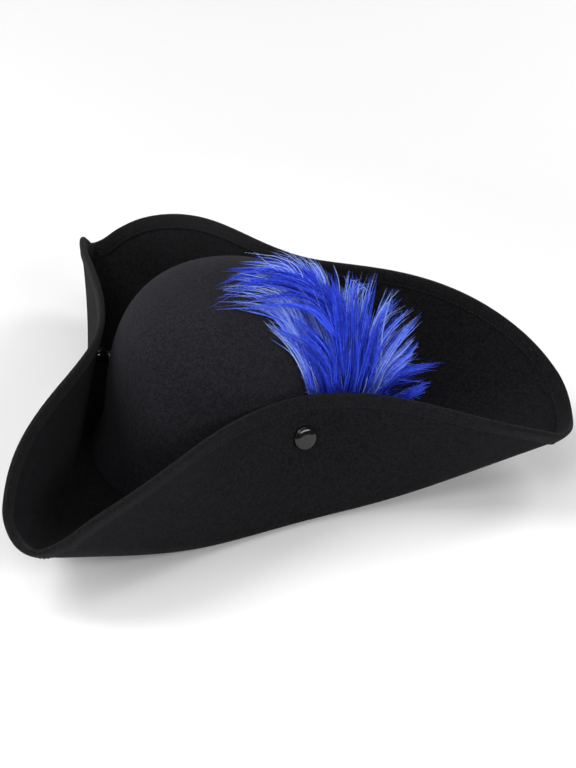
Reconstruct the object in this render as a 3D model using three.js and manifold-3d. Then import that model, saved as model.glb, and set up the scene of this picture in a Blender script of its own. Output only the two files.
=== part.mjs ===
import * as THREE from "three";
import { mergeVertices } from "three/addons/utils/BufferGeometryUtils.js";
import Module from "manifold-3d";

// A three-cornered felt hat with a bound edge, press studs and an ostrich plume.
// Millimetres and degrees. Front towards -Y, the wearer's left towards +X, top towards +Z.
// The underside of the flat brim lies on z = 0, and the middle of the head is the origin.

const wasm = await Module();
wasm.setup();

const degree = Math.PI / 180;
const gap = 0.3;
const felt = 2.4;

// Head opening, measured to the middle of the felt at the foot of the crown.
const head = { halfLength: 94, halfWidth: 91, brimLedge: 3 };

// Crown: a steep dome that flares out to the brim in its last few millimetres.
const crown = {
  height: 130,
  squareness: 3.4,
  sideShare: 0.905,
  flareHeight: 14,
  flareSharpness: 1.5,
  columns: 48,
};

// Corners of the brim. Reach is the flat brim's radius there; foldAngle and bendRadius belong to
// the folds on both sides of it, and bow is how far the fold lines swing outwards towards it.
const corners = [
  { name: "front", azimuth: -90, reach: 227, foldAngle: 76, bendRadius: 31, bow: 2, lift: 39 },
  { name: "left rear", azimuth: 30, reach: 236, foldAngle: 62, bendRadius: 45, bow: 13, lift: 39 },
  { name: "right rear", azimuth: 149, reach: 229, foldAngle: 82, bendRadius: 23, bow: -2, lift: 27 },
];

// Flaps turned up between one corner and the next. Reach is the flat brim's radius in the middle,
// foldDistance the fold line's distance from the origin, snapTurn the stud's azimuth off the middle.
const flaps = [
  { name: "left", reach: 188, foldDistance: 96, foldAngle: 104, snapTurn: 3.5 },
  { name: "rear", reach: 220, foldDistance: 95, foldAngle: 103, snapTurn: 0 },
  { name: "right", reach: 191, foldDistance: 95, foldAngle: 99, snapTurn: -2.5 },
];

const fold = { bendRadius: 6, reach: 200 };
const lift = { width: 24, growth: 1.2 };
const brimMesh = { columnsPerFlap: 28, rows: 9, cornerCrowding: 0.35, bendWeight: 1.3, samples: 80 };

// Folded tape sewn round the brim's edge.
const tape = { width: 9, thickness: 0.8 };

// Press stud: a domed cap outside the flap, a socket between flap and crown, a rivet head inside.
const snap = {
  fromEdge: 27.5,
  capRadius: 8.5,
  capHeight: 2.6,
  capRim: 1.2,
  capChamfer: 0.3,
  shankRadius: 2.5,
  socketRadius: 5.5,
  socketWaist: 3.6,
  rivetRadius: 5,
  rivetHeight: 3.2,
  rivetChamfer: 0.4,
  plateSink: 0.7,
  shankPast: 1.5,
  segments: 14,
};

// Dome of a stud's cap: share of the radius, and share of the height still to go to the rim.
const capDome = [
  { radius: 0, down: 0 },
  { radius: 0.36, down: 0.07 },
  { radius: 0.68, down: 0.3 },
  { radius: 0.9, down: 0.62 },
  { radius: 1, down: 1 },
];

function smooth(share) {
  return share * share * (3 - 2 * share);
}

function clampShare(value) {
  return Math.min(Math.max(value, 0), 1);
}

function headRadius(azimuth) {
  const lengthways = Math.sin(azimuth) / head.halfLength;
  const sideways = Math.cos(azimuth) / head.halfWidth;
  return 1 / Math.hypot(lengthways, sideways);
}

// The flap from corner k to the next: its two corners and the azimuths where it starts and ends.
function flapSpan(k) {
  const from = corners[k];
  const to = corners[(k + 1) % corners.length];
  const start = from.azimuth;
  const end = to.azimuth > start ? to.azimuth : to.azimuth + 360;
  return { from, to, start, end };
}

function flatReach(azimuth) {
  const first = corners[0].azimuth;
  const turned = THREE.MathUtils.euclideanModulo(azimuth / degree - first, 360) + first;
  for (let k = 0; k < flaps.length; k++) {
    const { from, to, start, end } = flapSpan(k);
    if (turned < start || turned > end) continue;
    const share = (turned - start) / (end - start);
    const plain = from.reach + (to.reach - from.reach) * smooth(share);
    const dip = flaps[k].reach - (from.reach + to.reach) / 2;
    return plain + dip * 0.5 * (1 - Math.cos(2 * Math.PI * share));
  }
  return first.reach;
}

// A flap's fold at a point of the flat brim: its direction, angle, bend radius and what lies beyond.
function foldAt(k, x, y) {
  const { from, to, start, end } = flapSpan(k);
  const middle = ((start + end) / 2) * degree;
  const half = ((end - start) / 2) * degree;
  const out = { x: Math.cos(middle), y: Math.sin(middle) };
  const along = -x * out.y + y * out.x;
  const share = Math.min(Math.abs(along) / (fold.reach * Math.sin(half)), 1);
  const corner = along > 0 ? to : from;
  const distance = flaps[k].foldDistance + corner.bow * share ** 2;
  const angle = (flaps[k].foldAngle + (corner.foldAngle - flaps[k].foldAngle) * smooth(share)) * degree;
  const bend = fold.bendRadius + (corner.bendRadius - fold.bendRadius) * share ** 2;
  const beyond = Math.max(x * out.x + y * out.y - distance, 0);
  const arc = Math.min(beyond, bend * angle);
  return { out, angle, bend, beyond, arc };
}

// Middle of the brim's felt: the point that stood at this azimuth and radius on the flat brim.
function brimPoint(azimuth, radius) {
  const x = radius * Math.cos(azimuth);
  const y = radius * Math.sin(azimuth);
  const point = new THREE.Vector3(x, y, felt / 2);
  for (let k = 0; k < flaps.length; k++) {
    const { out, angle, bend, beyond, arc } = foldAt(k, x, y);
    const straight = beyond - arc;
    const across = bend * Math.sin(arc / bend) + straight * Math.cos(angle);
    point.x += out.x * (across - beyond);
    point.y += out.y * (across - beyond);
    point.z += bend * (1 - Math.cos(arc / bend)) + straight * Math.sin(angle);
  }
  const inner = headRadius(azimuth);
  const share = clampShare((radius - inner) / (flatReach(azimuth) - inner));
  for (const corner of corners) {
    const turn = THREE.MathUtils.euclideanModulo(azimuth / degree - corner.azimuth + 180, 360) - 180;
    point.z += corner.lift * Math.exp(-((turn / lift.width) ** 2)) * share ** lift.growth;
  }
  return point;
}

// Upward normal of the brim's felt. It looks inwards, so the flat ledge keeps a true vertical.
function brimNormal(azimuth, radius) {
  const step = 0.2;
  const turn = step / radius;
  const outwards = brimPoint(azimuth, radius).sub(brimPoint(azimuth, radius - step));
  const around = brimPoint(azimuth + turn, radius).sub(brimPoint(azimuth - turn, radius));
  return outwards.cross(around).normalize();
}

function brimSkin(azimuth, radius, height) {
  return brimPoint(azimuth, radius).addScaledVector(brimNormal(azimuth, radius), height);
}

// Azimuths of the brim's columns, closer together at the corners.
function brimAzimuths() {
  const list = [];
  for (let k = 0; k < flaps.length; k++) {
    const { start, end } = flapSpan(k);
    for (let i = 0; i < brimMesh.columnsPerFlap; i++) {
      const share = i / brimMesh.columnsPerFlap;
      const shift = (brimMesh.cornerCrowding * Math.sin(2 * Math.PI * share)) / (2 * Math.PI);
      list.push((start + (end - start) * (share - shift)) * degree);
    }
  }
  return list;
}

// Radii of a column's rows: evenly spread, but closer together through the bends.
function brimRadii(azimuth) {
  const inner = headRadius(azimuth);
  const outer = flatReach(azimuth) - tape.width;
  const radii = [];
  const effort = [];
  for (let i = 0; i <= brimMesh.samples; i++) {
    const share = i / brimMesh.samples;
    const radius = inner + (outer - inner) * share;
    let turned = 0;
    for (let k = 0; k < flaps.length; k++) {
      const { bend, arc } = foldAt(k, radius * Math.cos(azimuth), radius * Math.sin(azimuth));
      turned += arc / bend;
    }
    radii.push(radius);
    effort.push(share + (brimMesh.bendWeight * turned) / (Math.PI / 2));
  }
  const list = [inner - head.brimLedge];
  let i = 0;
  for (let row = 0; row < brimMesh.rows; row++) {
    const wanted = (effort[brimMesh.samples] * row) / brimMesh.rows;
    while (effort[i + 1] < wanted) i++;
    const part = (wanted - effort[i]) / (effort[i + 1] - effort[i]);
    list.push(radii[i] + (radii[i + 1] - radii[i]) * part);
  }
  return [...list, outer, outer + tape.width];
}

// A closed ring from a loop of points for each column. Every point carries its radius, and each
// four-sided patch is halved from the inner point of one column to the outer one of the next.
function ringSolid(loops) {
  const count = loops[0].length;
  const positions = loops.flat().flatMap(({ point }) => point.toArray());
  const faces = [];
  loops.forEach((loop, i) => {
    const next = (i + 1) % loops.length;
    for (let j = 0; j < count; j++) {
      const k = (j + 1) % count;
      const [a, b] = [i * count + j, i * count + k];
      const [c, d] = [next * count + j, next * count + k];
      if (loop[j].radius <= loop[k].radius) faces.push(a, b, d, a, d, c);
      else faces.push(a, b, c, b, d, c);
    }
  });
  return solidFrom(positions, faces);
}

function solidFrom(positions, faces) {
  const mesh = new wasm.Mesh({
    numProp: 3,
    vertProperties: new Float32Array(positions),
    triVerts: new Uint32Array(faces),
  });
  mesh.merge();
  const solid = new wasm.Manifold(mesh);
  if (solid.volume() > 0) return solid;
  const turned = [];
  for (let i = 0; i < faces.length; i += 3) turned.push(faces[i], faces[i + 2], faces[i + 1]);
  return solidFrom(positions, turned);
}

function brimSolid(halfThickness) {
  const loops = brimAzimuths().map((azimuth) => {
    const radii = brimRadii(azimuth);
    const lower = radii.map((radius) => ({ radius, point: brimSkin(azimuth, radius, -halfThickness) }));
    const upper = radii.map((radius) => ({ radius, point: brimSkin(azimuth, radius, halfThickness) }));
    return [...lower, ...upper.reverse()];
  });
  return ringSolid(loops);
}

function tapeSolid() {
  const inside = felt / 2 + gap;
  const outside = inside + tape.thickness;
  const section = [
    { beyond: -tape.width, height: inside },
    { beyond: -tape.width, height: outside },
    { beyond: 0, height: outside },
    { beyond: gap + tape.thickness, height: felt / 2 },
    { beyond: gap + tape.thickness, height: -felt / 2 },
    { beyond: 0, height: -outside },
    { beyond: -tape.width, height: -outside },
    { beyond: -tape.width, height: -inside },
    { beyond: gap, height: -inside },
    { beyond: gap, height: inside },
  ];
  const loops = brimAzimuths().map((azimuth) => {
    const edge = flatReach(azimuth);
    return section.map(({ beyond, height }) => {
      const radius = edge + beyond;
      const base = brimSkin(azimuth, edge, height);
      const outwards = brimPoint(azimuth, edge).sub(brimPoint(azimuth, edge - 1)).normalize();
      const point = beyond > 0 ? base.addScaledVector(outwards, beyond) : brimSkin(azimuth, radius, height);
      return { radius, point };
    });
  });
  return ringSolid(loops);
}

// Share of the head's radius at a height above the foot of the crown.
function crownShare(height) {
  const rise = clampShare(height / crown.height);
  const dome = crown.sideShare * (1 - rise ** crown.squareness) ** (1 / crown.squareness);
  const flare = (1 - crown.sideShare) * Math.exp(-((height / crown.flareHeight) ** crown.flareSharpness));
  return dome + flare;
}

// Middle of the crown's felt. Climb runs from 0 at the foot to 1 at the top.
function crownPoint(azimuth, climb) {
  const turn = (climb * Math.PI) / 2;
  const height = crown.height * Math.sin(turn) ** (2 / crown.squareness);
  const radius = headRadius(azimuth) * crownShare(height);
  return new THREE.Vector3(radius * Math.cos(azimuth), radius * Math.sin(azimuth), felt / 2 + height);
}

function crownNormal(azimuth, climb) {
  const step = 1e-3;
  const above = crownPoint(azimuth, Math.min(climb + step, 1));
  const up = above.sub(crownPoint(azimuth, Math.max(climb - step, 0)));
  const around = crownPoint(azimuth + step, climb).sub(crownPoint(azimuth - step, climb));
  return around.cross(up).normalize();
}

// Climbs of the crown's rows, closer together at the flared foot and round the shoulder.
const crownClimbs = [0, 0.03, 0.07, 0.14, 0.26, 0.4, 0.53, 0.65, 0.76, 0.87, 0.95];

function crownSolid(halfThickness) {
  const positions = [];
  const faces = [];
  const columns = crown.columns;
  const rows = crownClimbs.length;
  const seam = felt + gap;
  for (const side of [halfThickness, -halfThickness]) {
    for (const climb of crownClimbs) {
      for (let i = 0; i < columns; i++) {
        const azimuth = (2 * Math.PI * i) / columns;
        const point = crownPoint(azimuth, climb).addScaledVector(crownNormal(azimuth, climb), side);
        if (climb === 0) {
          const foot = crownPoint(azimuth, 0);
          const level = new THREE.Vector3(foot.x, foot.y, 0).normalize();
          point.copy(foot).addScaledVector(level, side).setZ(seam);
        }
        positions.push(...point.toArray());
      }
    }
    positions.push(0, 0, felt / 2 + crown.height + side);
  }
  const skin = columns * rows + 1;
  for (let i = 0; i < columns; i++) {
    const next = (i + 1) % columns;
    for (let row = 0; row < rows - 1; row++) {
      const [a, b] = [row * columns + i, row * columns + next];
      const [c, d] = [a + columns, b + columns];
      faces.push(a, b, d, a, d, c);
      faces.push(skin + a, skin + d, skin + b, skin + a, skin + c, skin + d);
    }
    const [a, b] = [(rows - 1) * columns + i, (rows - 1) * columns + next];
    faces.push(a, b, skin - 1);
    faces.push(skin + b, skin + a, 2 * skin - 1);
    faces.push(i, skin + i, skin + next, i, skin + next, next);
  }
  return solidFrom(positions, faces);
}

// Where a press stud sits: its point in the flap's felt and its direction in towards the crown.
function snapSeat(k) {
  const { start, end } = flapSpan(k);
  const azimuth = ((start + end) / 2 + flaps[k].snapTurn) * degree;
  const radius = flatReach(azimuth) - snap.fromEdge;
  const point = brimPoint(azimuth, radius);
  const inwards = brimNormal(azimuth, radius);
  return { point, inwards };
}

// Depth from the flap's felt, along the stud, at which the crown's outer skin is met.
function crownDepth({ point, inwards }) {
  const probe = new THREE.Vector3();
  const [farthest, step] = [60, 0.05];
  for (let depth = 0; depth < farthest; depth += step) {
    probe.copy(point).addScaledVector(inwards, depth);
    const skin = headRadius(Math.atan2(probe.y, probe.x)) * crownShare(probe.z - felt / 2) + felt / 2;
    if (Math.hypot(probe.x, probe.y) < skin) return depth;
  }
  throw new Error("the stud misses the crown");
}

// Profile of a press stud along its axis, from the middle of the flap's felt in towards the crown.
// Cap, socket and rivet head run a little way into the felt, and are trimmed to it afterwards.
function snapProfile(depth) {
  const sunk = felt / 2 - snap.plateSink;
  const rim = -felt / 2 - snap.capRim;
  const top = rim - snap.capHeight;
  const socketEnd = depth + snap.plateSink;
  const rivetStart = depth + felt - snap.plateSink;
  const rivetEnd = depth + felt + snap.rivetHeight;
  const dome = capDome.map(({ radius, down }) => [radius * snap.capRadius, top + down * snap.capHeight]);
  return [
    ...dome,
    [snap.capRadius - snap.capChamfer, -sunk],
    [snap.shankRadius, -sunk],
    [snap.shankRadius, sunk],
    [snap.socketRadius, sunk],
    [snap.socketRadius, (sunk + socketEnd) / 2],
    [snap.socketWaist, socketEnd],
    [snap.shankRadius, socketEnd],
    [snap.shankRadius, rivetStart],
    [snap.rivetRadius, rivetStart],
    [snap.rivetRadius - snap.rivetChamfer, rivetEnd],
    [0, rivetEnd],
  ].map(([radius, along]) => new THREE.Vector2(radius, along));
}

function turnedSolid(profile, seat) {
  const geometry = new THREE.LatheGeometry(profile, snap.segments);
  const turn = new THREE.Quaternion().setFromUnitVectors(new THREE.Vector3(0, 1, 0), seat.inwards);
  geometry.applyQuaternion(turn);
  geometry.translate(...seat.point.toArray());
  return solidOf(geometry);
}

function solidOf(geometry) {
  geometry.deleteAttribute("normal");
  geometry.deleteAttribute("uv");
  const merged = mergeVertices(geometry, 1e-3);
  return solidFrom([...merged.attributes.position.array], [...merged.index.array]);
}

function rodSolid(seat, radius, from, to) {
  const profile = [
    [0, from],
    [radius, from],
    [radius, to],
    [0, to],
  ].map(([across, along]) => new THREE.Vector2(across, along));
  return turnedSolid(profile, seat);
}

// Plume. Its quill stands behind the left flap and curls over the crown towards the front.
const quill = [
  { x: 94.5, y: -6, z: 2.9 },
  { x: 88, y: -6, z: 45 },
  { x: 95, y: -3, z: 85 },
  { x: 91, y: -2, z: 115 },
  { x: 74, y: 1, z: 142 },
  { x: 48, y: -4, z: 154 },
  { x: 25, y: -13, z: 150 },
  { x: 8, y: -24, z: 141 },
].map(({ x, y, z }) => new THREE.Vector3(x, y, z));

// Direction of the plume's width at its foot and at its tip.
const plumeSheet = { foot: new THREE.Vector3(0.7, 0.7, 0), tip: new THREE.Vector3(0.3, 0.95, 0) };

// Half width and half thickness of the plume's dense middle along the quill.
const plumeBody = [
  { along: 0, wide: 1.6, thick: 1.6 },
  { along: 0.25, wide: 2.4, thick: 2 },
  { along: 0.33, wide: 14, thick: 2.5 },
  { along: 0.42, wide: 20, thick: 4.5 },
  { along: 0.54, wide: 20, thick: 9 },
  { along: 0.68, wide: 15, thick: 8 },
  { along: 0.82, wide: 11, thick: 5 },
  { along: 0.93, wide: 7, thick: 3.5 },
  { along: 1, wide: 1.5, thick: 1.5 },
];

// Locks of barbs: how far up the quill and how far across each one starts, where its tip is,
// and its half width near the root.
const locks = [
  { along: 0.72, across: -4, x: 5, y: -36, z: 137, wide: 7 },
  { along: 0.76, across: 0, x: 1, y: -27, z: 140, wide: 7 },
  { along: 0.78, across: 4, x: -5, y: -4, z: 142, wide: 7 },
  { along: 0.7, across: 6, x: 10, y: 9, z: 150, wide: 8 },
  { along: 0.64, across: 4, x: 22, y: 9, z: 159, wide: 8 },
  { along: 0.6, across: -8, x: 27, y: -29, z: 138, wide: 8 },
  { along: 0.4, across: -14, x: 42, y: -33, z: 132, wide: 7 },
  { along: 0.42, across: -12, x: 50, y: -19, z: 137, wide: 8 },
  { along: 0.36, across: -15, x: 66, y: -24, z: 122, wide: 6 },
  { along: 0.58, across: 0, x: 45, y: 9, z: 161, wide: 8 },
  { along: 0.52, across: 0, x: 59, y: 9, z: 164, wide: 8 },
  { along: 0.46, across: -4, x: 71, y: 9, z: 167, wide: 8 },
  { along: 0.42, across: 0, x: 84, y: 10, z: 168, wide: 9 },
  { along: 0.4, across: 2, x: 96, y: 17, z: 165, wide: 9 },
  { along: 0.38, across: 6, x: 107, y: 27, z: 155, wide: 9 },
  { along: 0.36, across: 10, x: 116, y: 34, z: 140, wide: 9 },
  { along: 0.34, across: 12, x: 122, y: 38, z: 131, wide: 8 },
  { along: 0.32, across: 14, x: 123, y: 33, z: 117, wide: 8 },
  { along: 0.3, across: 16, x: 139, y: 43, z: 101, wide: 6 },
  { along: 0.29, across: 14, x: 131, y: 31, z: 88, wide: 5 },
  { along: 0.34, across: 8, x: 110, y: 4, z: 150, wide: 8 },
  { along: 0.32, across: 8, x: 114, y: 2, z: 124, wide: 8 },
  { along: 0.34, across: -6, x: 94, y: -12, z: 150, wide: 8 },
  { along: 0.32, across: -10, x: 84, y: -18, z: 136, wide: 7 },
  { along: 0.36, across: 4, x: 86, y: 34, z: 140, wide: 8 },
  { along: 0.34, across: 8, x: 100, y: 40, z: 122, wide: 8 },
];
const lockMesh = { sides: 5, steps: 4, flatness: 0.45, spring: 0.5, rootWidth: 0.55, thinnest: 0.8 };
const bodySides = 8;

// A closed tapering strip through rings of points, with a centre point at each end.
function stripSolid(rings, startPoint, endPoint) {
  const sides = rings[0].length;
  const positions = [...rings.flat(), startPoint, endPoint].flatMap((point) => point.toArray());
  const startIndex = rings.length * sides;
  const faces = [];
  for (let i = 0; i < sides; i++) {
    const next = (i + 1) % sides;
    for (let row = 0; row < rings.length - 1; row++) {
      const [a, b] = [row * sides + i, row * sides + next];
      faces.push(a, b, b + sides, a, b + sides, a + sides);
    }
    const last = (rings.length - 1) * sides;
    faces.push(startIndex, next, i);
    faces.push(startIndex + 1, last + i, last + next);
  }
  return solidFrom(positions, faces);
}

function ovalRing(centre, forward, side, wide, thick, sides) {
  const across = side.clone().addScaledVector(forward, -side.dot(forward)).normalize();
  const through = forward.clone().cross(across).normalize();
  const ring = [];
  for (let i = 0; i < sides; i++) {
    const angle = (2 * Math.PI * i) / sides;
    const point = centre.clone().addScaledVector(across, wide * Math.cos(angle));
    ring.push(point.addScaledVector(through, thick * Math.sin(angle)));
  }
  return ring;
}

function plumeSolid() {
  const curve = new THREE.CatmullRomCurve3(quill);
  const sheetAt = (along) => plumeSheet.foot.clone().lerp(plumeSheet.tip, along).normalize();
  const bodyRings = plumeBody.map(({ along, wide, thick }) =>
    ovalRing(curve.getPointAt(along), curve.getTangentAt(along), sheetAt(along), wide, thick, bodySides),
  );
  let solid = stripSolid(bodyRings, curve.getPointAt(0), curve.getPointAt(1));
  for (const { along, across, x, y, z, wide } of locks) {
    const sheet = sheetAt(along);
    const root = curve.getPointAt(along).addScaledVector(sheet, across);
    const tip = new THREE.Vector3(x, y, z);
    const rise = root.distanceTo(tip) * lockMesh.spring;
    const bend = root.clone().addScaledVector(curve.getTangentAt(along), rise);
    const path = new THREE.QuadraticBezierCurve3(root, bend, tip);
    const rings = [];
    for (let i = 0; i < lockMesh.steps; i++) {
      const share = i / lockMesh.steps;
      const swell = lockMesh.rootWidth + (1 - lockMesh.rootWidth) * Math.sin(Math.PI * share);
      const width = wide * swell * Math.sqrt(1 - share ** 2);
      const thickness = Math.max(width * lockMesh.flatness, lockMesh.thinnest);
      const forward = path.getTangentAt(share);
      rings.push(ovalRing(path.getPointAt(share), forward, sheet, width, thickness, lockMesh.sides));
    }
    solid = solid.add(stripSolid(rings, root, tip));
  }
  return solid;
}

function material(colour, roughness, metalness) {
  return new THREE.MeshStandardMaterial({ color: colour, roughness, metalness });
}

function meshFrom(name, solid, look, shift) {
  const { vertProperties, triVerts } = solid.getMesh();
  const geometry = new THREE.BufferGeometry();
  geometry.setAttribute("position", new THREE.BufferAttribute(vertProperties, 3));
  geometry.setIndex(new THREE.BufferAttribute(triVerts, 1));
  geometry.translate(shift.x, shift.y, 0);
  const mesh = new THREE.Mesh(geometry, look);
  mesh.name = name;
  return mesh;
}

let brim = brimSolid(felt / 2);
let dome = crownSolid(felt / 2);
const brimWithGap = brimSolid(felt / 2 + gap);
const domeWithGap = crownSolid(felt / 2 + gap);
const binding = tapeSolid();
const studs = flaps.map((flap, k) => {
  const seat = snapSeat(k);
  const depth = crownDepth(seat);
  const shankEnd = depth + felt + snap.shankPast;
  const hole = rodSolid(seat, snap.shankRadius + gap, -felt, shankEnd + felt);
  const shank = rodSolid(seat, snap.shankRadius, -felt, shankEnd);
  brim = brim.subtract(hole);
  dome = dome.subtract(hole);
  const plates = turnedSolid(snapProfile(depth), seat).subtract(domeWithGap).subtract(brimWithGap);
  return { name: `snap_${flap.name}`, solid: plates.add(shank) };
});

// The hat is moved sideways so that the middle of its outline from above lies on the Z axis.
const outline = binding.boundingBox();
const shift = {
  x: -(outline.min[0] + outline.max[0]) / 2,
  y: -(outline.min[1] + outline.max[1]) / 2,
};

const looks = {
  crown: material(0x1e1e21, 0.92, 0),
  brim: material(0x1b1b1d, 0.92, 0),
  binding: material(0x201c1d, 0.85, 0),
  plume: material(0x2f45d0, 0.7, 0),
};
const hat = new THREE.Group();
hat.add(meshFrom("crown", dome, looks.crown, shift));
hat.add(meshFrom("brim", brim, looks.brim, shift));
hat.add(meshFrom("edge_binding", binding, looks.binding, shift));
hat.add(meshFrom("plume", plumeSolid(), looks.plume, shift));
for (const { name, solid } of studs) {
  hat.add(meshFrom(name, solid, material(0x0b0b0d, 0.15, 0), shift));
}

export default hat;
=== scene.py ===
from math import atan2, cos, exp, hypot, pi, radians, sin

import bmesh
import bpy
import numpy as np
from mathutils import Matrix, Vector


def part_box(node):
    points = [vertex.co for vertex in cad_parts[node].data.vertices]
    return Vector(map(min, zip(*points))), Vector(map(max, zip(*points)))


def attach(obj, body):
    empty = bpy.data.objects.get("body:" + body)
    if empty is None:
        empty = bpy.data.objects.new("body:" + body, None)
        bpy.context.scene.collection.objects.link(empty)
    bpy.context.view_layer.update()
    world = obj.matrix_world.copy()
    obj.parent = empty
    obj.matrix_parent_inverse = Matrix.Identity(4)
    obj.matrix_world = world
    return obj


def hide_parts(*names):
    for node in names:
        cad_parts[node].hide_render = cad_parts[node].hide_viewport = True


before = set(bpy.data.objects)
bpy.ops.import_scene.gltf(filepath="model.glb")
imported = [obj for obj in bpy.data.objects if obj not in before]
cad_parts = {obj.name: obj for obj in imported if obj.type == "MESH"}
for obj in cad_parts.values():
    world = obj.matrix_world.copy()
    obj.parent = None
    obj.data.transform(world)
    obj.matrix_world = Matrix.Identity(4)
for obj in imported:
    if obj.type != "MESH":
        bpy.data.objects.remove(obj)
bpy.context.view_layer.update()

# Black felt tricorn with a tape-bound edge, press studs and a blue ostrich plume.
# Sizes are in millimetres from the middle of the head, and go to metres in the last step.

mm = 0.001
tiny = 1e-9
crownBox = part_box("crown")
middle = (crownBox[0] + crownBox[1]) / 2  # middle of the head, seen from above


def toScene(point):
    return Vector((point.x * mm + middle.x, point.y * mm + middle.y, point.z * mm))


# Felt shapes shared by crown, brim, tape and studs

felt = {"thickness": 2.4, "headHalfLength": 94, "headHalfWidth": 91, "ledge": 3}

# azimuth of each corner, the flat brim's reach there, and the bend towards it
corners = [
    {"azimuth": -90, "reach": 227, "foldAngle": 76, "bendRadius": 31, "bow": 2, "lift": 39},
    {"azimuth": 30, "reach": 236, "foldAngle": 62, "bendRadius": 45, "bow": 13, "lift": 39},
    {"azimuth": 149, "reach": 229, "foldAngle": 82, "bendRadius": 23, "bow": -2, "lift": 27},
]

# flap between each corner and the next, with the stud's turn off its middle
flaps = [
    {"side": "left", "reach": 188, "foldDistance": 96, "foldAngle": 104, "studTurn": 3.5},
    {"side": "rear", "reach": 220, "foldDistance": 95, "foldAngle": 103, "studTurn": 0},
    {"side": "right", "reach": 191, "foldDistance": 95, "foldAngle": 99, "studTurn": -2.5},
]

fold = {"bendRadius": 6, "reach": 200, "liftWidth": 24, "liftGrowth": 1.2, "slopeStep": 0.2}


def smooth(share):
    return share * share * (3 - 2 * share)


def headRadius(azimuth):
    return 1 / hypot(sin(azimuth) / felt["headHalfLength"], cos(azimuth) / felt["headHalfWidth"])


def flapSpan(k):
    start = corners[k]["azimuth"]
    end = corners[(k + 1) % 3]["azimuth"]
    return start, end if end > start else end + 360


def flatReach(azimuth):
    first = corners[0]["azimuth"]
    turned = (azimuth * 180 / pi - first) % 360 + first
    for k in range(3):
        start, end = flapSpan(k)
        if start <= turned <= end:
            break
    share = (turned - start) / (end - start)
    near, far = corners[k]["reach"], corners[(k + 1) % 3]["reach"]
    dip = flaps[k]["reach"] - (near + far) / 2
    return near + (far - near) * smooth(share) + dip * 0.5 * (1 - cos(2 * pi * share))


def foldAt(k, x, y):
    # the flap's fold at a point of the flat brim, and how much of the way beyond it is bent
    start, end = flapSpan(k)
    mid = radians((start + end) / 2)
    half = radians((end - start) / 2)
    outX, outY = cos(mid), sin(mid)
    along = y * outX - x * outY
    share = min(abs(along) / (fold["reach"] * sin(half)), 1)
    corner = corners[(k + 1) % 3] if along > 0 else corners[k]
    distance = flaps[k]["foldDistance"] + corner["bow"] * share**2
    turn = flaps[k]["foldAngle"]
    angle = radians(turn + (corner["foldAngle"] - turn) * smooth(share))
    bend = fold["bendRadius"] + (corner["bendRadius"] - fold["bendRadius"]) * share**2
    beyond = max(x * outX + y * outY - distance, 0)
    arc = min(beyond, bend * angle)
    return outX, outY, angle, bend, beyond, arc


def brimPoint(azimuth, radius):
    # where a point of the flat brim lies once the flaps are folded up
    x, y = radius * cos(azimuth), radius * sin(azimuth)
    point = Vector((x, y, felt["thickness"] / 2))
    for k in range(3):
        outX, outY, angle, bend, beyond, arc = foldAt(k, x, y)
        straight = beyond - arc
        across = bend * sin(arc / bend) + straight * cos(angle) - beyond
        point.x += outX * across
        point.y += outY * across
        point.z += bend * (1 - cos(arc / bend)) + straight * sin(angle)
    inner = headRadius(azimuth)
    share = min(max((radius - inner) / (flatReach(azimuth) - inner), 0), 1)
    for corner in corners:
        turn = (azimuth * 180 / pi - corner["azimuth"] + 180) % 360 - 180
        rise = corner["lift"] * exp(-((turn / fold["liftWidth"]) ** 2))
        point.z += rise * share ** fold["liftGrowth"]
    return point


def brimNormal(azimuth, radius):
    step = fold["slopeStep"]
    turn = step / radius
    outwards = brimPoint(azimuth, radius) - brimPoint(azimuth, radius - step)
    around = brimPoint(azimuth + turn, radius) - brimPoint(azimuth - turn, radius)
    return outwards.cross(around).normalized()


def brimSkin(azimuth, radius, height):
    return brimPoint(azimuth, radius) + brimNormal(azimuth, radius) * height


def crownShare(height):
    # the crown's radius at a height, as a share of the head's
    rise = min(max(height / crownSizes["height"], 0), 1)
    square = crownSizes["squareness"]
    dome = crownSizes["sideShare"] * (1 - rise**square) ** (1 / square)
    steep = (max(height, 0) / crownSizes["flareHeight"]) ** crownSizes["flareSharpness"]
    return dome + (1 - crownSizes["sideShare"]) * exp(-steep)


def crownPoint(azimuth, climb):
    height = crownSizes["height"] * sin(climb * pi / 2) ** (2 / crownSizes["squareness"])
    radius = headRadius(azimuth) * crownShare(height)
    return Vector((radius * cos(azimuth), radius * sin(azimuth), felt["thickness"] / 2 + height))


# Making pieces

def nextRing(bm, edges):
    grown = bmesh.ops.extrude_edge_only(bm, edges=edges)["geom"]
    fresh = {g for g in grown if isinstance(g, bmesh.types.BMVert)}
    return list(fresh), [g for g in grown if isinstance(g, bmesh.types.BMEdge) and set(g.verts) <= fresh]


def flatRings(columns, rows):
    # rings one unit apart in a flat disc; each vertex then knows its row and its turn
    bm = bmesh.new()
    bmesh.ops.create_circle(bm, segments=columns, radius=1, cap_ends=False)
    edges = bm.edges[:]
    for row in range(1, rows):
        verts, edges = nextRing(bm, edges)
        wider = (row + 1) / row
        bmesh.ops.scale(bm, vec=Vector((wider, wider, 1)), verts=verts)
    return bm


def ringRow(co):
    return round(hypot(co.x, co.y)) - 1


def ringTurn(co, columns):
    return round((atan2(co.y, co.x) / (2 * pi) + 0.25) * columns) % columns


def meshFrom(name, bm):
    mesh = bpy.data.meshes.new(name)
    bm.to_mesh(mesh)
    bm.free()
    return mesh


def placed(name, data):
    thing = bpy.data.objects.new(name, data)
    bpy.context.scene.collection.objects.link(thing)
    return thing


def pieceOf(name, mesh, material, node=None, sharpAngle=None):
    mesh.shade_smooth()
    if sharpAngle:
        mesh.set_sharp_from_angle(angle=radians(sharpAngle))
    mesh.materials.clear()
    mesh.materials.append(material)
    piece = placed(name, mesh)
    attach(piece, "root")
    if node:
        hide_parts(node)
    return piece


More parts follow.
